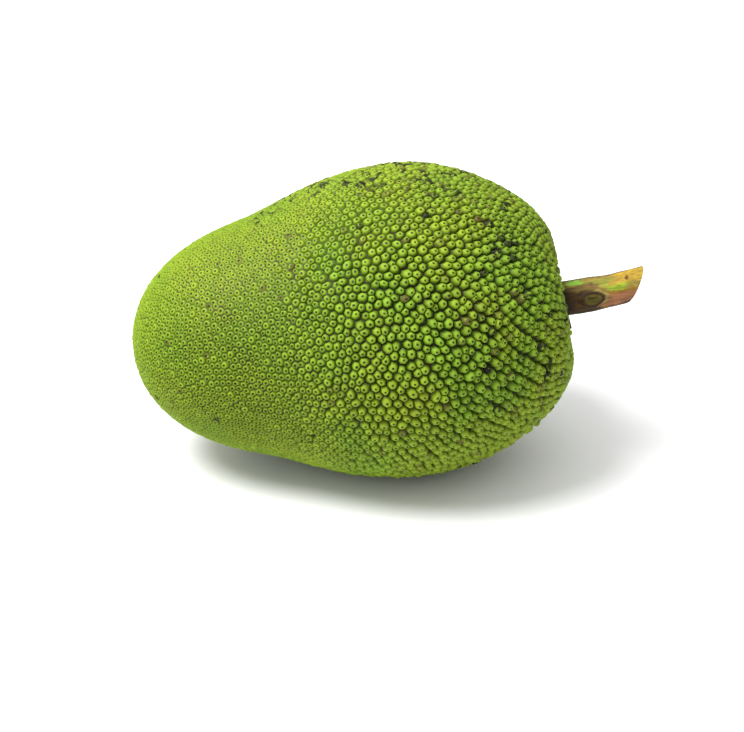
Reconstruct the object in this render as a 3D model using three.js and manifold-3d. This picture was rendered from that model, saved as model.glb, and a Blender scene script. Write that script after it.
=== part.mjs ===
// A whole jackfruit lying on its side, picked with a short length of its stalk.
// Millimetres, +Z up, +X along the fruit towards the stalk. The origin is on the
// surface it rests on, under the middle of its bounding box.
import * as THREE from "three";
import { mergeVertices } from "three/addons/utils/BufferGeometryUtils.js";
import Module from "manifold-3d";

const wasm = await Module();
wasm.setup();
const { clamp, degToRad } = THREE.MathUtils;

// Driving dimensions of the fruit, over the tips of its tubercles. Along the fruit,
// distances start at the blossom tip, the end away from the stalk.
const FRUIT_LENGTH = 338; // blossom tip to the shoulder round the stalk
const WAIST = { radius: 92, at: 92, slope: 0.25 };
const BELLY = { radius: 123, at: 218 };
const SHOULDER_RADIUS = 44; // rim of the hollow that the stalk stands in
const HOLLOW_DEPTH = 6.5;
const TIP_BLUNTNESS = 50; // a longer handle makes the blossom end flatter
const SHOULDER_BLUNTNESS = 40;
const LYING_TILT = degToRad(6.7); // the wide stalk end lifts the axis
const SHOULDER_BEND = degToRad(4); // the last stretch curves up a little more
const BEND_FROM = 190;
const FLAT_DEPTH = 3; // how far the fruit's own weight flattens its underside
const WIDER_THAN_TALL = 0.01;
const SWELL = 0.01; // gentle unevenness of the girth
const SWELL_LENGTH = 90; // along the fruit, for one radian of the swell's turn

// Driving dimensions of the stalk and of the withered bract at its foot
const STEM_RADIUS = 12.5;
const STEM_LENGTH = 62; // along its middle, hollow floor to cut
const STEM_DROOP = degToRad(4.5); // it leaves a little below the fruit's axis
const STEM_CURVE = degToRad(11); // and curves up along its length
const STEM_CUT = degToRad(37); // slant of the knife cut
const COLLAR_RADIUS = 15.5;
const COLLAR_HEIGHT = 5;
const NODE_RADIUS = 13.3; // the stalk swells where a leaf stalk came off
const SCAR_AT = 28;
const SCAR_SIZE = { length: 18, height: 13, thickness: 4 };
const SCAR_TURN = degToRad(3); // above level, on the -Y side
const BRACT = { width: 8, length: 13, thickness: 1.2, curl: 2.2, cup: 0.8 };
const TOUCH_GAP = 0.3; // clearance between pieces that touch

const RINGS = 42; // facets along the fruit
const SEGMENTS = 52; // facets round it
const STEM_SEGMENTS = 28;
const CUTTER = 600; // side of the blocks that trim the solids

// A closed three.js geometry as a solid, and a solid back as a geometry.
function toSolid(geometry) {
  const bare = geometry.clone();
  bare.deleteAttribute("normal");
  bare.deleteAttribute("uv");
  const merged = mergeVertices(bare, 1e-3);
  return new wasm.Manifold(
    new wasm.Mesh({
      numProp: 3,
      vertProperties: merged.attributes.position.array,
      triVerts: new Uint32Array(merged.index.array),
    }),
  );
}

function toGeometry(solid) {
  const mesh = solid.getMesh();
  const geometry = new THREE.BufferGeometry();
  geometry.setAttribute("position", new THREE.BufferAttribute(mesh.vertProperties, 3));
  geometry.setIndex(new THREE.BufferAttribute(mesh.triVerts, 1));
  geometry.computeVertexNormals();
  return geometry;
}

// A centreline in the X-Z plane. It leaves a point at an angle above level, and bends
// up evenly between two distances along it.
function centreline(start, angle, bend, from, to) {
  return (distance) => {
    const share = clamp((distance - from) / (to - from), 0, 1);
    const bent = clamp(distance - from, 0, to - from);
    const past = Math.max(distance - to, 0);
    const rise = bend * ((share * bent) / 2 + past);
    return {
      x: start.x + distance * Math.cos(angle) - rise * Math.sin(angle),
      z: start.z + distance * Math.sin(angle) + rise * Math.cos(angle),
      angle: angle + bend * share,
    };
  };
}

// Lays a lathe shape, which stands along Y, onto a centreline. stretch(along, round)
// scales its radius, where round is 0 at the top and grows towards -Y.
function layAlong(geometry, line, stretch = () => 1) {
  const position = geometry.attributes.position;
  for (let i = 0; i < position.count; i++) {
    const along = position.getY(i);
    const at = line(along);
    const round = Math.atan2(-position.getZ(i), position.getX(i));
    const radius = Math.hypot(position.getX(i), position.getZ(i)) * stretch(along, round);
    const up = radius * Math.cos(round);
    position.setXYZ(
      i,
      at.x - up * Math.sin(at.angle),
      -radius * Math.sin(round),
      at.z + up * Math.cos(at.angle),
    );
  }
  return geometry;
}

// A block that fills all of one side of a plane through a point. The side faces an
// angle above level.
function blockBeyond(point, facing) {
  const block = new THREE.BoxGeometry(CUTTER, CUTTER, CUTTER);
  block.translate(CUTTER / 2, 0, 0);
  block.rotateY(-facing);
  return toSolid(block.translate(point.x, 0, point.z));
}

// The fruit's outline, from the blossom tip to the middle of the stalk's hollow.
function fruitOutline() {
  const floor = FRUIT_LENGTH - HOLLOW_DEPTH;
  const floorRadius = COLLAR_RADIUS + 3;
  const wallFoot = 28; // radius where the hollow's wall runs out
  const rimRadius = 32; // and where its rim turns over
  const rimLift = 0.5;
  const rimDip = 2; // the shoulder falls away from the rim this much
  // Lengths of the curve's handles on each side of the waist and of the belly
  const beforeWaist = 48;
  const afterWaist = 35;
  const beforeBelly = 63;
  const afterBelly = 51;
  const path = new THREE.Path();
  path.bezierCurveTo(
    TIP_BLUNTNESS,
    0,
    WAIST.radius - beforeWaist * WAIST.slope,
    WAIST.at - beforeWaist,
    WAIST.radius,
    WAIST.at,
  );
  path.bezierCurveTo(
    WAIST.radius + afterWaist * WAIST.slope,
    WAIST.at + afterWaist,
    BELLY.radius,
    BELLY.at - beforeBelly,
    BELLY.radius,
    BELLY.at,
  );
  path.bezierCurveTo(
    BELLY.radius,
    BELLY.at + afterBelly,
    SHOULDER_RADIUS + SHOULDER_BLUNTNESS,
    FRUIT_LENGTH - rimDip,
    SHOULDER_RADIUS,
    FRUIT_LENGTH,
  );
  path.bezierCurveTo(rimRadius, FRUIT_LENGTH + rimLift, wallFoot, floor, floorRadius, floor);
  const points = path.getSpacedPoints(RINGS);
  points.push(new THREE.Vector2(0, floor));
  return points;
}

function girth(along, round) {
  const fade = Math.sin(Math.PI * clamp(along / FRUIT_LENGTH, 0, 1));
  const oval = -WIDER_THAN_TALL * Math.cos(2 * round);
  const lumps = SWELL * Math.sin(3 * round + along / SWELL_LENGTH);
  return 1 + (oval + lumps) * fade;
}

// The fruit, trimmed flat where it rests.
const fruitLine = centreline({ x: 0, z: 0 }, LYING_TILT, SHOULDER_BEND, BEND_FROM, FRUIT_LENGTH);
const body = layAlong(new THREE.LatheGeometry(fruitOutline(), SEGMENTS), fruitLine, girth);
body.computeBoundingBox();
const floorHeight = body.boundingBox.min.z + FLAT_DEPTH;
const fruit = toSolid(body).subtract(blockBeyond({ x: 0, z: floorHeight }, -Math.PI / 2));

// The stalk starts under the hollow's floor and is trimmed to stand just clear of it.
const stemFoot = fruitLine(FRUIT_LENGTH - HOLLOW_DEPTH + TOUCH_GAP);
const stemLine = centreline(stemFoot, stemFoot.angle - STEM_DROOP, STEM_CURVE, 0, STEM_LENGTH);

function stemSolid() {
  const below = -3;
  const above = STEM_LENGTH + 2 * STEM_RADIUS;
  const swollen = NODE_RADIUS + 0.3;
  const swollenFrom = 18;
  const slimFrom = SCAR_AT + 14;
  const outline = new THREE.Path();
  outline.moveTo(0, below);
  outline.lineTo(COLLAR_RADIUS, below);
  outline.lineTo(COLLAR_RADIUS, COLLAR_HEIGHT / 2);
  outline.quadraticCurveTo(NODE_RADIUS, COLLAR_HEIGHT / 2, NODE_RADIUS, COLLAR_HEIGHT);
  outline.bezierCurveTo(swollen, swollenFrom, swollen, SCAR_AT, STEM_RADIUS, slimFrom);
  outline.lineTo(STEM_RADIUS, above);
  outline.lineTo(0, above);
  const stalk = layAlong(new THREE.LatheGeometry(outline.getPoints(6), STEM_SEGMENTS), stemLine);
  const end = stemLine(STEM_LENGTH);
  return toSolid(stalk)
    .subtract(blockBeyond(stemFoot, stemFoot.angle + Math.PI))
    .subtract(blockBeyond(end, end.angle - STEM_CUT));
}

// The low oval cushion of the leaf scar, half sunk in the stalk's side.
function scarSolid() {
  const at = stemLine(SCAR_AT);
  const { length, height, thickness } = SCAR_SIZE;
  const cushion = new THREE.SphereGeometry(1, 20, 12);
  cushion.scale(length / 2, thickness / 2, height / 2);
  cushion.translate(0, -NODE_RADIUS, 0);
  cushion.rotateX(-SCAR_TURN);
  cushion.rotateY(-at.angle);
  return toSolid(cushion.translate(at.x, 0, at.z));
}

// The bract: a thin tongue that hangs along -Y, cupped across and curled along.
function bractGeometry() {
  const { width, length, thickness, curl, cup } = BRACT;
  const half = width / 2;
  const root = half * 0.8; // half widths at the root, at the bulge and by the tip
  const bulge = half * 1.2;
  const tip = half * 0.6;
  const tongue = new THREE.Shape();
  tongue.moveTo(-root, 0);
  tongue.bezierCurveTo(-bulge, -length / 2, -tip, -length, 0, -length);
  tongue.bezierCurveTo(tip, -length, bulge, -length / 2, root, 0);
  const geometry = new THREE.ExtrudeGeometry(tongue, {
    depth: thickness,
    bevelEnabled: false,
    curveSegments: 8,
  });
  const position = geometry.attributes.position;
  for (let i = 0; i < position.count; i++) {
    const down = position.getY(i) / length;
    const across = position.getX(i) / half;
    position.setZ(i, position.getZ(i) + curl * down * down + cup * across * across);
  }
  return geometry;
}

const group = new THREE.Group();

const skin = new THREE.MeshStandardMaterial({ color: 0x8fae36, roughness: 0.6, metalness: 0 });
const fruitMesh = new THREE.Mesh(toGeometry(fruit), skin);
fruitMesh.name = "fruit";
group.add(fruitMesh);

const bark = new THREE.MeshStandardMaterial({ color: 0x8a7430, roughness: 0.75, metalness: 0 });
const stemMesh = new THREE.Mesh(toGeometry(stemSolid().add(scarSolid())), bark);
stemMesh.name = "stem";
group.add(stemMesh);

const dry = new THREE.MeshStandardMaterial({ color: 0x8b6a3c, roughness: 0.85, metalness: 0 });
const bractMesh = new THREE.Mesh(bractGeometry(), dry);
bractMesh.name = "dried_bract";
bractMesh.rotation.set(Math.PI / 2, Math.PI / 2, 0);
const bractHinge = new THREE.Group();
const bractRoot = stemLine(HOLLOW_DEPTH + 1);
const bractReach = NODE_RADIUS + 2 * TOUCH_GAP;
bractHinge.rotation.y = -bractRoot.angle;
bractHinge.position.set(
  bractRoot.x + bractReach * Math.sin(bractRoot.angle),
  0,
  bractRoot.z - bractReach * Math.cos(bractRoot.angle),
);
bractHinge.add(bractMesh);
group.add(bractHinge);

// The flat spot stands on the floor, with the bounding box's middle over the origin.
group.updateMatrixWorld(true);
const box = new THREE.Box3().setFromObject(group, true);
group.position.set(-(box.min.x + box.max.x) / 2, -(box.min.y + box.max.y) / 2, -floorHeight);

export default group;
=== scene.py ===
import math
import random

import bpy
import numpy as np
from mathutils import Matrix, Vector, noise
from mathutils.bvhtree import BVHTree
from mathutils.kdtree import KDTree


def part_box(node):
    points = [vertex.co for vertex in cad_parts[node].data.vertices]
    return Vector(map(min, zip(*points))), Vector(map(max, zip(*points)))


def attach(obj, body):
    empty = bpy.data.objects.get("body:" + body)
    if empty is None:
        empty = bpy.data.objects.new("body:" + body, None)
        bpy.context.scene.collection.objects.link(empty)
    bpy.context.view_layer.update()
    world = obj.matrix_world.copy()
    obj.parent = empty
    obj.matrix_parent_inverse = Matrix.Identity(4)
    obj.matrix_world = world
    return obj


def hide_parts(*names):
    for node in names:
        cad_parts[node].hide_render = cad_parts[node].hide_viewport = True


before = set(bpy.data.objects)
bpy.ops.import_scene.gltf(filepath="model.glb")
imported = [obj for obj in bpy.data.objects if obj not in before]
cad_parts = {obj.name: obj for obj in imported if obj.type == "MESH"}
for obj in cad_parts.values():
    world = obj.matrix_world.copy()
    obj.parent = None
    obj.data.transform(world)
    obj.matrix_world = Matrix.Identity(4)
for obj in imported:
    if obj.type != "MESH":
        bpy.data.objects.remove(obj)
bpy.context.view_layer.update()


# ---------------------------------------------------------------------------
# The rind: the living skin of a jackfruit, one tough waxy sheet in which every
# flower of the spike has grown into a blunt tubercle. They pack in rough
# hexagons, small and low at the blossom end, plump and crowded round the stalk.

MM = 0.001
small_spacing = 5.3 * MM  # middle to middle at the blossom end
large_spacing = 7.9 * MM  # the same from the belly to the stalk
widening = (0.28, 0.66)  # where they grow, as shares of the fruit's length
small_height = 2.6 * MM
large_height = 5.0 * MM
topward_loss = 0.62  # the share of their growth that they miss along the top
pushes = 14  # rounds in which they push each other apart
push_reach = 1.08  # how far each one feels its neighbours, in its own spacings
push_share = 0.42  # how much of its squeeze one round undoes
plump_reach = 4.15 * MM  # middle to corner, above which a cell carries three rings
small_reach = 3.4 * MM  # above which it carries two, and below which it carries one


def smooth_step(low, high, value):
    share = np.clip((value - low) / (high - low), 0, 1)
    return share * share * (3 - 2 * share)


def read(thing, field, width=1, kind=np.float32):
    values = np.zeros(len(thing) * width, kind)
    thing.foreach_get(field, values)
    return values.reshape(-1, width) if width > 1 else values


cad_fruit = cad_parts["fruit"].data
skin_points = read(cad_fruit.vertices, "co", 3)
skin_tree = BVHTree.FromPolygons(
    [Vector(point) for point in skin_points],
    [tuple(face.vertices) for face in cad_fruit.polygons],
)
fruit_low, fruit_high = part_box("fruit")
heart = (fruit_low + fruit_high) / 2
blossom_tip = Vector(skin_points[skin_points[:, 0].argmin()])
stem_points = read(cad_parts["stem"].data.vertices, "co", 3)
stem_low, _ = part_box("stem")
stem_foot = Vector(stem_points[stem_points[:, 0] < stem_low.x + 3 * MM].mean(0))
long_way = (stem_foot - blossom_tip).normalized()
fruit_length = (stem_foot - blossom_tip).length
side_way = Vector((0, 1, 0))
up_way = side_way.cross(long_way).normalized() * -1


def on_skin(direction):
    """Where a direction from the fruit's heart meets the skin, and the skin's normal."""
    point, normal, _, _ = skin_tree.ray_cast(heart, direction)
    return point, normal


def share_along(points):
    return (points - np.array(blossom_tip)) @ np.array(long_way) / fruit_length


def growth_at(points):
    """0 where the tubercles stayed small and 1 where they are largest."""
    off_axis = points - np.array(blossom_tip)
    off_axis = off_axis - (off_axis @ np.array(long_way))[:, None] * np.array(long_way)
    off_axis = off_axis / np.linalg.norm(off_axis, axis=1, keepdims=True).clip(MM)
    topward = smooth_step(0.35, 0.95, off_axis @ np.array((0, 0.2, 0.98)))
    return smooth_step(*widening, share_along(points)) * (1 - topward_loss * topward)


def spacing_at(points):
    return small_spacing + (large_spacing - small_spacing) * growth_at(points)


def direction_at(polar, around):
    across = side_way * math.cos(around) + up_way * math.sin(around)
    return across * math.sin(polar) - long_way * math.cos(polar)


# How many tubercles there are between the blossom tip and each polar angle.
polar_steps = np.linspace(0, math.pi, 181)
turns = np.linspace(0, 2 * math.pi, 12, endpoint=False)
counts = [0.0]
for low_polar, high_polar in zip(polar_steps[:-1], polar_steps[1:]):
    density = 0
    for around in turns:
        direction = direction_at((low_polar + high_polar) / 2, around)
        point, normal = on_skin(direction)
        spacing = float(spacing_at(np.array([point]))[0])
        cell_area = spacing * spacing * math.sqrt(3) / 2
        stretch = (point - heart).length_squared / abs(normal.dot(direction))
        density += stretch / cell_area / len(turns)
    zone = 2 * math.pi * (math.cos(low_polar) - math.cos(high_polar))
    counts.append(counts[-1] + density * zone)
tubercle_count = int(counts[-1])

# They start on a spiral, as they do on the young spike, and push each other apart.
golden_turn = math.pi * (3 - math.sqrt(5))
dice = random.Random(7)
directions = []
for number in range(tubercle_count):
    polar = float(np.interp(number + 0.5, counts, polar_steps))
    around = number * golden_turn + dice.uniform(-0.03, 0.03)
    directions.append(direction_at(polar, around))
draw = np.random.default_rng(11)
vigour = np.clip(draw.normal(1, 0.065, tubercle_count), 0.8, 1.2)
for _ in range(pushes):
    points = np.array([on_skin(direction)[0] for direction in directions])
    reach = (spacing_at(points) * vigour)[:, None, None] * push_reach
    tree = KDTree(tubercle_count)
    for number, point in enumerate(points):
        tree.insert(point, number)
    tree.balance()
    near = np.array([[hit[1] for hit in tree.find_n(point, 9)[1:]] for point in points])
    away = points[:, None, :] - points[near]
    distance = np.linalg.norm(away, axis=2, keepdims=True)
    squeeze = np.clip(1 - 2 * distance / (reach + reach[near][:, :, 0]), 0, 1)
    moves = (away / distance * squeeze).sum(1) * reach[:, 0] * push_share
    directions = [(Vector(point) - heart).normalized() for point in points + moves]

# The net between neighbours: the hull of their directions on a round ball.
bpy.ops.object.select_all(action="DESELECT")
net = bpy.data.meshes.new("net")
net.from_pydata(directions, [], [])
net_holder = bpy.data.objects.new("net", net)
bpy.context.scene.collection.objects.link(net_holder)
bpy.context.view_layer.objects.active = net_holder
net_holder.select_set(True)
bpy.ops.object.mode_set(mode="EDIT")
bpy.ops.mesh.select_all(action="SELECT")
bpy.ops.mesh.convex_hull(join_triangles=False)
bpy.ops.object.mode_set(mode="OBJECT")
middles = np.array([on_skin(Vector(point))[0] for point in read(net.vertices, "co", 3)])
net.vertices.foreach_set("co", middles.astype(np.float32).ravel())
bpy.ops.object.mode_set(mode="EDIT")
bpy.ops.mesh.select_all(action="SELECT")
bpy.ops.mesh.beautify_fill(angle_limit=math.pi)
bpy.ops.mesh.normals_make_consistent(inside=False)
bpy.ops.object.mode_set(mode="OBJECT")
net.update()
middles = read(net.vertices, "co", 3)
outward = read(net.vertices, "normal", 3)
meetings = read(net.loops, "vertex_index", 1, np.int32).reshape(-1, 3)
corners = middles[meetings].mean(1)
bpy.ops.object.delete()

# Round each middle, the places where three tubercles meet are its cell's corners.
next_round = {}
for number, (one, two, three) in enumerate(meetings.tolist()):
    next_round[one, two] = (number, three)
    next_round[two, three] = (number, one)
    next_round[three, one] = (number, two)
first_beside = {one: two for one, two in next_round}
cells = []
for number in range(len(middles)):
    cell = []
    beside = first_beside[number]
    while not cell or beside != first_beside[number]:
        corner, beside = next_round[number, beside]
        cell.append(corner)
    cells.append(cell)
cell_sizes = np.array([len(cell) for cell in cells])
cell_owners = np.repeat(np.arange(len(cells)), cell_sizes)
cell_corners = corners[np.concatenate(cells)]
corner_reach = np.linalg.norm(cell_corners - middles[cell_owners], axis=1)
cell_reach = np.bincount(cell_owners, corner_reach) / cell_sizes

rind_mesh = bpy.data.meshes.new("rind")
rind_mesh.from_pydata(corners, [], cells)
rind = bpy.data.objects.new("rind", rind_mesh)
bpy.context.scene.collection.objects.link(rind)
bpy.context.view_layer.objects.active = rind
rind.select_set(True)
bpy.ops.object.mode_set(mode="EDIT")
bpy.ops.mesh.select_mode(type="FACE")
bpy.ops.mesh.select_all(action="DESELECT")
bpy.ops.object.mode_set(mode="OBJECT")

# Every tubercle grows as rings inside its cell: three in a plump one, two in a small one
# and one in a tiny one. The corners of the cells themselves belong to no tubercle.
plump = cell_reach > plump_reach
small = ~plump & (cell_reach > small_reach)
tiny = ~plump & ~small
stretch_way = np.cross(draw.normal(0, 1, (len(middles), 3)), outward)
stretch_way /= np.linalg.norm(stretch_way, axis=1, keepdims=True)
stretch_share = draw.normal(0, 0.07, len(middles))
tubercle = np.full(len(corners), -1)
rise = np.zeros(len(corners), np.float32)


def add_ring(wanted, narrowing, height, roundness):
    """Insets the cap of each wanted tubercle and shapes the new ring."""
    global tubercle, rise
    chosen = np.zeros(len(rind_mesh.polygons), bool)
    chosen[: len(middles)] = wanted
    rind_mesh.polygons.foreach_set("select", chosen)
    bpy.ops.object.mode_set(mode="EDIT")
    bpy.ops.mesh.inset(thickness=0.01 * MM, use_individual=True)
    bpy.ops.mesh.select_all(action="DESELECT")
    bpy.ops.object.mode_set(mode="OBJECT")
    starts = read(rind_mesh.polygons, "loop_start", 1, np.int32)[: len(middles)]
    vertices = read(rind_mesh.loops, "vertex_index", 1, np.int32)
    spread = np.arange(len(cell_owners)) - np.repeat(np.cumsum(cell_sizes) - cell_sizes, cell_sizes)
    cap_vertices = vertices[starts[cell_owners] + spread]
    new = wanted[cell_owners]
    points = read(rind_mesh.vertices, "co", 3)
    owners = cell_owners[new]
    arm = cell_corners[new] - middles[owners]
    length = corner_reach[new]
    goal = length + (cell_reach[owners] - length) * roundness
    along = (arm * stretch_way[owners]).sum(1)[:, None] * stretch_way[owners]
    arm = arm * (1 - stretch_share[owners])[:, None] + along * 2 * stretch_share[owners][:, None]
    points[cap_vertices[new]] = middles[owners] + arm * (goal / length * narrowing)[:, None]
    rind_mesh.vertices.foreach_set("co", points.ravel())
    added = len(points) - len(tubercle)
    tubercle = np.concatenate([tubercle, np.full(added, -1)])
    rise = np.concatenate([rise, np.zeros(added, np.float32)])
    tubercle[cap_vertices[new]] = owners
    rise[cap_vertices[new]] = height


add_ring(plump, 0.84, 0.40, 0.8)
add_ring(plump, 0.65, 0.80, 0.95)
add_ring(plump, 0.33, 1.0, 1.0)
add_ring(small, 0.80, 0.60, 0.8)
add_ring(small, 0.46, 1.0, 0.9)
add_ring(tiny, 0.58, 1.0, 0.9)
caps = np.zeros(len(rind_mesh.polygons), bool)
caps[: len(middles)] = True
rind_mesh.polygons.foreach_set("select", caps)
bpy.ops.object.mode_set(mode="EDIT")
bpy.ops.mesh.poke()
bpy.ops.mesh.select_all(action="DESELECT")
bpy.ops.object.mode_set(mode="OBJECT")
points = read(rind_mesh.vertices, "co", 3)
tips = np.arange(len(tubercle), len(points))
tubercle = np.concatenate([tubercle, np.arange(len(middles))])
grown = growth_at(middles)
rise = np.concatenate([rise, 0.5 + 0.4 * grown]).astype(np.float32)

# The groove sinks by each tubercle's height, and the tubercles differ a little. Under
# the foot of the stem the skin is smooth.
height = (small_height + (large_height - small_height) * grown) * draw.normal(1, 0.1, len(middles))
height *= 0.06 + 0.94 * smooth_step(15 * MM, 23 * MM, np.linalg.norm(middles - stem_foot, axis=1))
level = draw.normal(0, 0.7 * MM, len(middles)) * (0.4 + 0.6 * grown) * height / height.max()
lean = np.cross(draw.normal(0, 1, (len(middles), 3)), outward) * 0.11
lean += (np.array(long_way) - up_way * 0.6) * 0.2 * grown[:, None]
owned = tubercle >= 0
up = np.zeros_like(points)
up[owned] = outward[tubercle[owned]] * (level[tubercle[owned]] - height[tubercle[owned]])[:, None]
up[~owned] = (outward[meetings] * -height[meetings][:, :, None]).mean(1)
points += up
raised = (rise[owned] * height[tubercle[owned]])[:, None]
points[owned] += (outward[tubercle[owned]] + lean[tubercle[owned]] * rise[owned][:, None]) * raised
points[:, 2] = np.maximum(points[:, 2], 0)
rind_mesh.vertices.foreach_set("co", points.ravel())


def keep(mesh, name, values):
    """Stores one number for each vertex, which a material reads by its name."""
    attribute = mesh.attributes.new(name, "FLOAT", "POINT")
    attribute.data.foreach_set("value", np.asarray(values, np.float32))


def share_out(values):
    """Spreads one number a tubercle over its vertices, and their mean over the grooves."""
    return np.concatenate([values[meetings].mean(1), values[tubercle[len(meetings) :]]])


# Weathering: some tubercles are bruised black or have turned brown, most of them along
# the top, round the stem and on the shoulder.
is_tip = np.zeros(len(points), np.float32)
is_tip[tips] = 1
patches = np.array([noise.fractal(Vector(point) / (34 * MM), 1, 2, 3) for point in middles])
crest = smooth_step(0.72, 0.98, outward @ np.array((0, 0.4, 0.917)))
crest *= smooth_step(0.25, 0.5, share_along(middles))
collar = 1 - smooth_step(24 * MM, 60 * MM, np.linalg.norm(middles - stem_foot, axis=1))
shoulder = smooth_step(0.55, 0.95, share_along(middles))
brown_chance = 0.012 + 0.30 * crest + 0.35 * collar + 0.10 * shoulder + 0.10 * np.clip(patches, 0, 1)
black_chance = 0.003 + 0.016 * shoulder + 0.28 * crest + 0.14 * collar + 0.05 * shoulder * (patches > 0)
brown = (draw.random(len(middles)) < brown_chance) * draw.uniform(0.2, 0.9, len(middles))
black = (draw.random(len(middles)) < black_chance) * draw.uniform(0.75, 1, len(middles))
keep(rind_mesh, "rise", np.minimum(rise, 1))
keep(rind_mesh, "tip", is_tip)
# The blossom end is painted lighter: partly a riper tone, partly painted light.
blossom_ripeness_and_light = 1 - smooth_step(0.02, 0.3, share_along(middles))
keep(rind_mesh, "tone_and_blossom_light", share_out(0.85 * draw.random(len(middles)) + 0.4 * blossom_ripeness_and_light))
keep(rind_mesh, "grown", share_out(grown))
keep(rind_mesh, "brown", share_out(brown))
keep(rind_mesh, "black", share_out(black))
rind_mesh.update()
bpy.ops.object.shade_smooth()


def linear(colour):
    """An sRGB hex colour as linear red, green, blue and alpha."""
    parts = [int(colour[place : place + 2], 16) / 255 for place in (1, 3, 5)]
    bent = [part / 12.92 if part < 0.04045 else ((part + 0.055) / 1.055) ** 2.4 for part in parts]
    return (*bent, 1)


def add_node(material, kind, settings=None, **inputs):
    """Adds a node. An input is a value, or an output of another node to link."""
    tree = material.node_tree
    node = tree.nodes.new(kind)
    for name, value in (settings or {}).items():
        setattr(node, name, value)
    for name, value in inputs.items():
        key = int(name[1:]) if name[0] == "_" and name[1:].isdigit() else name.replace("_", " ")
        socket = node.inputs[key]
        if isinstance(value, bpy.types.NodeSocket):
            tree.links.new(value, socket)
        elif isinstance(value, str):
            socket.default_value = linear(value)
        else:
            socket.default_value = value
    return node


# Jackfruit rind, grown: waxy cuticle over green tissue. It has yellow-green crowns with a painted
# highlight on their tops, flanks and grooves darkened as painted shade, tips that dried to dots
# where the styles fell off, and a low satin sheen.
blossom_green = "#6b8915"
stalk_green = "#688c19"
yellowed_green = "#7f9216"
# a paler green painted on the crown tops as a highlight
painted_highlight_green = "#8da636"
# the groove colours are painted shade, darkest where the tubercles are largest
blossom_groove_painted_shade = "#3f5a06"
stalk_groove_painted_shade = "#1b2403"
groove_dust = "#2c2216"
browned_skin = "#4f4320"
dried_tip = "#222c09"
bruised_skin = "#120f0a"
skin = bpy.data.materials.new("jackfruit_rind")
skin.use_nodes = True
skin.node_tree.nodes.clear()
place = add_node(skin, "ShaderNodeTexCoord").outputs["Object"]
kept = {}
for name in ("rise", "tip", "tone_and_blossom_light", "grown", "brown", "black"):
    kept[name] = add_node(skin, "ShaderNodeAttribute", {"attribute_name": name}).outputs["Fac"]
colour_mix = {"data_type": "RGBA"}
blotches = add_node(skin, "ShaderNodeTexNoise", Vector=place, Scale=1 / (70 * MM), Detail=3.0)
yellowing = add_node(
    skin, "ShaderNodeMapRange", Value=blotches.outputs[0], From_Min=0.40, From_Max=0.66,
)
crown = add_node(
    skin, "ShaderNodeMix", colour_mix, _0=kept["grown"], _6=blossom_green, _7=stalk_green,
)
crown = add_node(
    skin, "ShaderNodeMix", colour_mix, _0=yellowing.outputs[0], _6=crown.outputs[2], _7=yellowed_green,
)
# The tone varies at random between tubercles and is raised at the blossom end as painted light.
shade = add_node(
    skin, "ShaderNodeMapRange", Value=kept["tone_and_blossom_light"], To_Min=0.82, To_Max=1.22,
)
crown = add_node(
    skin, "ShaderNodeHueSaturation", Value=shade.outputs[0], Color=crown.outputs[2],
)
# The grooves are darkened as painted shade, most round the stalk, and some of them hold dust.
groove_shade_and_dust = add_node(
    skin, "ShaderNodeMix", colour_mix, _0=kept["grown"], _6=blossom_groove_painted_shade, _7=stalk_groove_painted_shade,
)
dust = add_node(skin, "ShaderNodeTexNoise", Vector=place, Scale=1 / (16 * MM), Detail=4.0)
dusty = add_node(skin, "ShaderNodeMapRange", Value=dust.outputs[0], From_Min=0.5, From_Max=0.62)
groove_shade_and_dust = add_node(
    skin, "ShaderNodeMix", colour_mix, _0=dusty.outputs[0], _6=groove_shade_and_dust.outputs[2], _7=groove_dust,
)
# The flanks are the crown colour darkened as painted shade.
painted_flank_shade = add_node(skin, "ShaderNodeHueSaturation", Value=0.62, Color=crown.outputs[0])
# The crown tops are mixed towards a paler green as a painted highlight.
painted_highlight = add_node(
    skin, "ShaderNodeMix", colour_mix, _0=0.3, _6=crown.outputs[0], _7=painted_highlight_green,
)
low_flank = add_node(
    skin, "ShaderNodeMapRange", {"interpolation_type": "SMOOTHSTEP"},
    Value=kept["rise"], From_Min=0.05, From_Max=0.6,
)
high_flank = add_node(
    skin, "ShaderNodeMapRange", {"interpolation_type": "SMOOTHSTEP"},
    Value=kept["rise"], From_Min=0.5, From_Max=1.0,
)
body = add_node(
    skin, "ShaderNodeMix", colour_mix, _0=low_flank.outputs[0], _6=groove_shade_and_dust.outputs[2], _7=painted_flank_shade.outputs[0],
)
body = add_node(
    skin, "ShaderNodeMix", colour_mix, _0=high_flank.outputs[0], _6=body.outputs[2], _7=painted_highlight.outputs[2],
)
ragged = add_node(skin, "ShaderNodeTexNoise", Vector=place, Scale=1 / (4 * MM), Detail=2.0)
ragged = add_node(
    skin, "ShaderNodeMapRange", Value=ragged.outputs[0], From_Min=0.4, From_Max=0.52,
)
bare = add_node(
    skin, "ShaderNodeMath", {"operation": "MULTIPLY"}, _0=kept["brown"], _1=ragged.outputs[0],
)
browned = add_node(
    skin, "ShaderNodeMix", colour_mix, _0=bare.outputs[0], _6=body.outputs[2], _7=browned_skin,
)
dot = add_node(skin, "ShaderNodeMapRange", Value=kept["tip"], From_Min=0.15, From_Max=0.6)
dotted = add_node(
    skin, "ShaderNodeMix", colour_mix, _0=dot.outputs[0], _6=browned.outputs[2], _7=dried_tip,
)
bruise = add_node(
    skin, "ShaderNodeMath", {"operation": "MULTIPLY"}, _0=kept["black"], _1=ragged.outputs[0],
)
bruised = add_node(
    skin, "ShaderNodeMix", colour_mix, _0=bruise.outputs[0], _6=dotted.outputs[2], _7=bruised_skin,
)
grain = add_node(skin, "ShaderNodeTexNoise", Vector=place, Scale=1 / (0.9 * MM), Detail=2.0)
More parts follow.
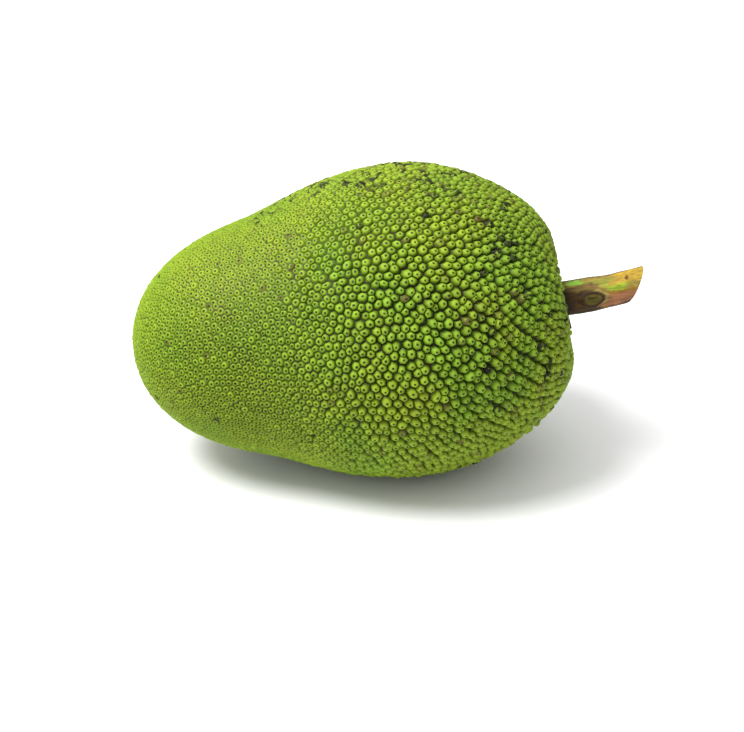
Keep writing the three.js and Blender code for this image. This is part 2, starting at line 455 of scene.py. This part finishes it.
gloss = add_node(
    skin, "ShaderNodeMapRange", Value=grain.outputs[0], To_Min=0.42, To_Max=0.66,
)
relief = add_node(
    skin, "ShaderNodeBump", Height=grain.outputs[0], Strength=0.25, Distance=0.25 * MM,
)
surface = add_node(
    skin, "ShaderNodeBsdfPrincipled",
    Base_Color=bruised.outputs[2], Roughness=gloss.outputs[0], Normal=relief.outputs[0],
    Specular_IOR_Level=0.16,
)
add_node(skin, "ShaderNodeOutputMaterial", Surface=surface.outputs[0])
rind_mesh.materials.append(skin)
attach(rind, "root")
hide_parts("fruit")


# ---------------------------------------------------------------------------
# The stem: the woody stalk the fruit hung from, cut off with one slanting stroke of a
# knife. Thin ridged bark, mottled green, ochre and brown, with the scar of one leaf and painted shade at
# its foot.

stem_length = 62 * MM
stem_lean = math.radians(6.2)
foot_lean = math.radians(10.7)  # of the fruit's own line, which the foot is cut square to
stem_bend = math.radians(11)
cut_slant = math.radians(37)
girth_at = (0, 2.4, 3.6, 5, 18, 28, 42, 90)
girth_radius = (15.5, 15.4, 14.3, 13.4, 13.6, 13.4, 12.5, 12.5)
scar_at = 28 * MM
scar_side = math.radians(82)  # round from the top, so almost level on the front
scar_half = (9.4 * MM, 6.0 * MM)
scar_relief = 0.8738  # the share of the bark's relief that is left inside the scar
bud_at = 57 * MM

# A sheet rolled into a tube: a disc under the foot, the bark, then the cut face.
bpy.ops.object.select_all(action="DESELECT")
bpy.ops.mesh.primitive_grid_add(x_subdivisions=132, y_subdivisions=168, size=1)
stem = bpy.context.object
stem.name = "stem"
stem_mesh = stem.data
stem_mesh.name = "stem"
sheet = read(stem_mesh.vertices, "co", 3) + 0.5
around = sheet[:, 0] * 2 * math.pi
inward = np.interp(sheet[:, 1], (0, 0.02, 0.9, 1), (0, 1, 1, 0))
run = np.interp(sheet[:, 1], (0.02, 0.9), (0, 1))
on_cut = (sheet[:, 1] > 0.899).astype(float)
radius = np.interp(run * stem_length / MM, girth_at, girth_radius) * MM
along = run * stem_length + radius * inward * np.cos(around) * math.tan(cut_slant) * run**3

# Bark ridges run lengthwise. The leaf scar is an oval cushion with a raised lip.
wobble = np.zeros(len(sheet))
ridges = np.zeros(len(sheet))
mottle = np.zeros(len(sheet))
for number, (turn, reach) in enumerate(zip(around, along)):
    ring = Vector((math.cos(turn), math.sin(turn), 0)) * 5
    ridges[number] = noise.fractal(ring + Vector((0, 0, reach / (24 * MM))), 0.9, 2.2, 4)
    wobble[number] = noise.noise(ring * 0.2 + Vector((0, 0, reach / (17 * MM) + 3)))
    mottle[number] = noise.fractal(ring * 0.5 + Vector((0, 0, reach / (8 * MM) + 9)), 0.8, 2, 3)
scar_long = (along - scar_at) / scar_half[0]
scar_cross = (around - scar_side) * radius / scar_half[1]
scar = np.hypot(scar_long, scar_cross) + 0.14 * mottle
lip = np.interp(scar, (0, 0.55, 0.75, 0.88, 1.0, 1.25), (0.9, 0.9, 1.2, 1.9, 1.1, 0)) * MM
slit = np.exp(-(((scar_cross + 0.15 + 0.3 * scar_long**2) / 0.16) ** 2))
slit *= 0.9 * MM * (1 - smooth_step(0.25, 0.6, abs(scar_long)))
bark = (ridges * 0.42 + wobble * 0.35) * MM * np.where(scar < 1, scar_relief, 1)
radius = radius + (bark + lip - slit) * (1 - on_cut)
lean_at = stem_lean + stem_bend * np.clip(along / stem_length, 0, 1)
bent = np.clip(along, 0, stem_length)
past = np.maximum(along - stem_length, 0)
climb = stem_bend * (bent * bent / stem_length / 2 + past)
foot_ring = stem_points @ np.array((math.cos(foot_lean), 0, math.sin(foot_lean)))
foot_ring = stem_points[foot_ring < foot_ring.min() + 0.2 * MM]
foot = (foot_ring.min(0) + foot_ring.max(0)) / 2
rising = radius * inward * np.cos(around)
end_grain = on_cut * inward * (1 - inward) * ridges * 0.5 * MM
tube = np.zeros_like(sheet)
tube[:, 0] = foot[0] + (along + end_grain) * math.cos(stem_lean) - climb * math.sin(stem_lean)
tube[:, 0] -= rising * np.sin(lean_at)
tube[:, 1] = -radius * inward * np.sin(around)
tube[:, 2] = foot[2] + (along + end_grain) * math.sin(stem_lean) + climb * math.cos(stem_lean)
tube[:, 2] += rising * np.cos(lean_at)
stem_mesh.vertices.foreach_set("co", tube.astype(np.float32).ravel())


def tint(base, colour, share):
    """Paints a colour over another, as much as the share says at each vertex."""
    share = np.clip(share, 0, 1)[:, None]
    return base * (1 - share) + np.array(linear(colour)) * share


def band(value, low, high, soft):
    return smooth_step(low - soft, low + soft, value) * (1 - smooth_step(high - soft, high + soft, value))


top = np.cos(around + math.radians(27)) + 0.1 * mottle
share = along / stem_length + 0.05 * mottle
foot_half = 1 - smooth_step(0.5, 0.62, share)
paint = np.tile(np.array(linear("#86752f")), (len(sheet), 1))
paint = tint(paint, "#9c7f26", smooth_step(0.62, 0.85, share) * smooth_step(0.1, 0.3, top))
paint = tint(paint, "#83862d", band(share, 0.42, 0.7, 0.06) * band(top, 0.3, 0.7, 0.15))
paint = tint(paint, "#7fae3c", band(share, 0.17, 0.36, 0.03) * band(top, 0.62, 0.93, 0.05))
paint = tint(paint, "#7f9420", band(share, 0.67, 0.9, 0.03) * band(top, -0.1, 0.3, 0.06))
paint = tint(paint, "#7a5b16", smooth_step(0.55, 0.65, share) * band(top, -0.35, -0.1, 0.06))
paint = tint(paint, "#85583a", smooth_step(0.52, 0.62, share) * (1 - smooth_step(-0.4, -0.2, top)))
paint = tint(paint, "#966643", band(share, 0.56, 0.8, 0.06) * band(top, -0.75, -0.3, 0.1))
paint = tint(paint, "#6b5228", foot_half * band(top, 0.3, 0.55, 0.08))
# The lower side of the foot half is dark brown, partly the bark's own colour and partly the fruit's
# shadow painted on.
paint = tint(paint, "#432e10", foot_half * (1 - smooth_step(0.15, 0.4, top)))
# The foot, where it sinks into the fruit, is darkened as painted shade.
paint = tint(paint, "#281b0b", 1 - smooth_step(0.08, 0.24, share + 0.08 * top))
paint = tint(paint, "#3a3015", 1 - smooth_step(-0.97, -0.8, top))
paint = tint(paint, "#5e5036", smooth_step(0.9, 0.98, top))
paint = tint(paint, "#8f7a40", band(scar, 1.02, 1.3, 0.07) * smooth_step(0.1, 0.5, scar_long))
paint = tint(paint, "#28180a", band(scar, 0.7, 1.0, 0.12) * (0.75 + 0.25 * scar_long))
paint = tint(paint, "#544c10", 1 - smooth_step(0.5, 0.75, scar))
paint = tint(paint, "#302310", 0.8 * slit / (0.9 * MM))
bud_trace = np.hypot(along - bud_at, (top - 0.5) * 11 * MM) / MM
paint = tint(paint, "#63380f", 1 - smooth_step(1.0, 2.0, bud_trace))
grain_rings = 0.5 + 0.5 * np.cos(inward * 22 + mottle)
face = tint(paint, "#b99f68", np.ones(len(sheet)))
face = tint(face, "#8e6f3c", grain_rings * 0.5)
face = tint(face, "#6b4a25", smooth_step(0.86, 0.97, inward))
face = tint(face, "#7a5a34", 1 - smooth_step(0.08, 0.18, inward))
paint = paint * (1 - on_cut)[:, None] + face * on_cut[:, None]
paint[:, :3] *= (1 + 0.35 * ridges + 0.2 * mottle).clip(0.4, 1.5)[:, None]
colours = stem_mesh.attributes.new("bark_colour", "FLOAT_COLOR", "POINT")
colours.data.foreach_set("color", paint.astype(np.float32).ravel())
bpy.ops.object.mode_set(mode="EDIT")
bpy.ops.mesh.select_all(action="SELECT")
bpy.ops.mesh.remove_doubles(threshold=0.001 * MM)
bpy.ops.mesh.normals_make_consistent(inside=False)
bpy.ops.object.mode_set(mode="OBJECT")
bpy.ops.object.shade_smooth()

# Bark of a young woody shoot: dull and dry, with fine lengthwise fibres that break up
# its patches of green and brown. The cut wood shows as pale rings at the end.
bark_look = bpy.data.materials.new("stalk_bark")
bark_look.use_nodes = True
bark_look.node_tree.nodes.clear()
place = add_node(bark_look, "ShaderNodeTexCoord").outputs["Object"]
drawn = add_node(bark_look, "ShaderNodeVectorMath", {"operation": "MULTIPLY"}, _0=place, _1=(0.15, 1, 1))
fibres = add_node(
    bark_look, "ShaderNodeTexNoise", Vector=drawn.outputs[0], Scale=1 / (1.1 * MM), Detail=4.0,
)
light = add_node(
    bark_look, "ShaderNodeMapRange", Value=fibres.outputs[0],
    From_Min=0.3, From_Max=0.7, To_Min=0.68, To_Max=1.25,
)
painted = add_node(bark_look, "ShaderNodeAttribute", {"attribute_name": "bark_colour"})
worn = add_node(
    bark_look, "ShaderNodeHueSaturation", Value=light.outputs[0], Color=painted.outputs["Color"],
)
relief = add_node(
    bark_look, "ShaderNodeBump", Height=fibres.outputs[0], Strength=0.6, Distance=0.4 * MM,
)
surface = add_node(
    bark_look, "ShaderNodeBsdfPrincipled", Base_Color=worn.outputs[0], Roughness=0.72,
    Normal=relief.outputs[0], Specular_IOR_Level=0.25,
)
add_node(bark_look, "ShaderNodeOutputMaterial", Surface=surface.outputs[0])
stem_mesh.materials.append(bark_look)
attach(stem, "root")
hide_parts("stem")


# ---------------------------------------------------------------------------
# The dried bract: a leaf scale that withered at the foot of the stem. It is a papery
# scrap, curled and torn, and hangs by its root.

bract_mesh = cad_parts["dried_bract"].data.copy()
bract_mesh.materials.clear()
bract_mesh.name = "dried_bract"
bract = bpy.data.objects.new("dried_bract_dry", bract_mesh)
bpy.context.scene.collection.objects.link(bract)
bpy.ops.object.select_all(action="DESELECT")
bpy.context.view_layer.objects.active = bract
bract.select_set(True)
bpy.ops.object.mode_set(mode="EDIT")
bpy.ops.mesh.select_all(action="SELECT")
bpy.ops.mesh.remove_doubles(threshold=0.001 * MM)
bpy.ops.object.mode_set(mode="OBJECT")
bpy.ops.object.modifier_add(type="REMESH")
bract.modifiers[0].mode = "VOXEL"
bract.modifiers[0].voxel_size = 0.28 * MM
bpy.ops.object.modifier_apply(modifier=bract.modifiers[0].name)
points = read(bract_mesh.vertices, "co", 3)
normals = read(bract_mesh.vertices, "normal", 3)
middle = (points.min(0) + points.max(0)) / 2
hanging = (points[:, 2].max() - points[:, 2]) / (points[:, 2].max() - points[:, 2].min())
bract_mottle = np.zeros(len(points))
for number, point in enumerate(points):
    spot = Vector(point)
    torn = noise.fractal(spot / (2.6 * MM), 0.9, 2, 3)
    crease = noise.noise(spot / (1.7 * MM) + Vector((4, 0, 0)))
    points[number, 1] = middle[1] + (point[1] - middle[1]) * (1 - 0.28 * abs(torn) * hanging[number])
    points[number] += normals[number] * crease * 0.3 * MM
    points[number, 0] += torn * 0.9 * MM * hanging[number]
    bract_mottle[number] = torn + crease * 0.5
bract_mesh.vertices.foreach_set("co", points.ravel())
keep(bract_mesh, "bract_tone", 0.35 + 0.5 * bract_mottle + 0.5 * (0.5 - hanging))
bract_mesh.update()
bpy.ops.object.shade_smooth()

# Withered scale: matt and papery, mottled from nearly black to straw, darker towards its hanging tip and
# where its creases sink in.
papery = bpy.data.materials.new("withered_bract")
papery.use_nodes = True
papery.node_tree.nodes.clear()
bract_tone = add_node(papery, "ShaderNodeAttribute", {"attribute_name": "bract_tone"}).outputs["Fac"]
straw = add_node(
    papery, "ShaderNodeMix", {"data_type": "RGBA"}, _0=bract_tone, _6="#140c06", _7="#7d6440",
)
surface = add_node(
    papery, "ShaderNodeBsdfPrincipled", Base_Color=straw.outputs[2], Roughness=0.85,
    Specular_IOR_Level=0.2,
)
add_node(papery, "ShaderNodeOutputMaterial", Surface=surface.outputs[0])
bract_mesh.materials.append(papery)
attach(bract, "root")
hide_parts("dried_bract")


# ---------------------------------------------------------------------------
# Floor, light and camera: a plain studio sweep, not part of the fruit.

bpy.ops.mesh.primitive_plane_add(size=20)
floor = bpy.context.object
floor.name = "floor"
paper = bpy.data.materials.new("white_paper")
paper.use_nodes = True
paper.node_tree.nodes["Principled BSDF"].inputs["Base Color"].default_value = (0.9, 0.9, 0.9, 1)
paper.node_tree.nodes["Principled BSDF"].inputs["Roughness"].default_value = 0.9
floor.data.materials.append(paper)

world = bpy.data.worlds.new("studio")
bpy.context.scene.world = world
world.use_nodes = True
# The room is brightest overhead, and brighter on the left than on the right.
toward = add_node(world, "ShaderNodeTexCoord").outputs["Generated"]
toward = add_node(world, "ShaderNodeSeparateXYZ", Vector=toward)
height_glow = add_node(
    world, "ShaderNodeMapRange", Value=toward.outputs["Z"], From_Min=0.0, To_Min=0.45, To_Max=1.3,
)
glow = add_node(
    world, "ShaderNodeMath", {"operation": "MULTIPLY_ADD"},
    _0=toward.outputs["X"], _1=-0.3, _2=height_glow.outputs[0],
)
world.node_tree.links.new(glow.outputs[0], world.node_tree.nodes["Background"].inputs["Strength"])
world.node_tree.nodes["Background"].inputs["Color"].default_value = (1, 1, 1, 1)


def add_lamp(name, position, aim, size, power):
    lamp = bpy.data.lights.new(name, "AREA")
    lamp.shape = "DISK"
    lamp.size = size
    lamp.energy = power
    holder = bpy.data.objects.new(name, lamp)
    holder.location = position
    holder.rotation_euler = (Vector(aim) - Vector(position)).to_track_quat("-Z", "Y").to_euler()
    bpy.context.scene.collection.objects.link(holder)


add_lamp("key", (-0.85, -0.35, 1.7), (0, 0, 0.1), 1.1, 50)

elevation = math.radians(27)
distance = 1.37
aim = Vector((-0.0105, -0.017, 0.0872))
back = Vector((0, -math.cos(elevation), math.sin(elevation)))
lens = bpy.data.cameras.new("camera")
lens.lens = 85
lens.sensor_width = 36
camera = bpy.data.objects.new("camera", lens)
camera.location = aim + back * distance
camera.rotation_euler = (-back).to_track_quat("-Z", "Y").to_euler()
bpy.context.scene.collection.objects.link(camera)
bpy.context.scene.camera = camera
bpy.context.scene.view_settings.view_transform = "Standard"
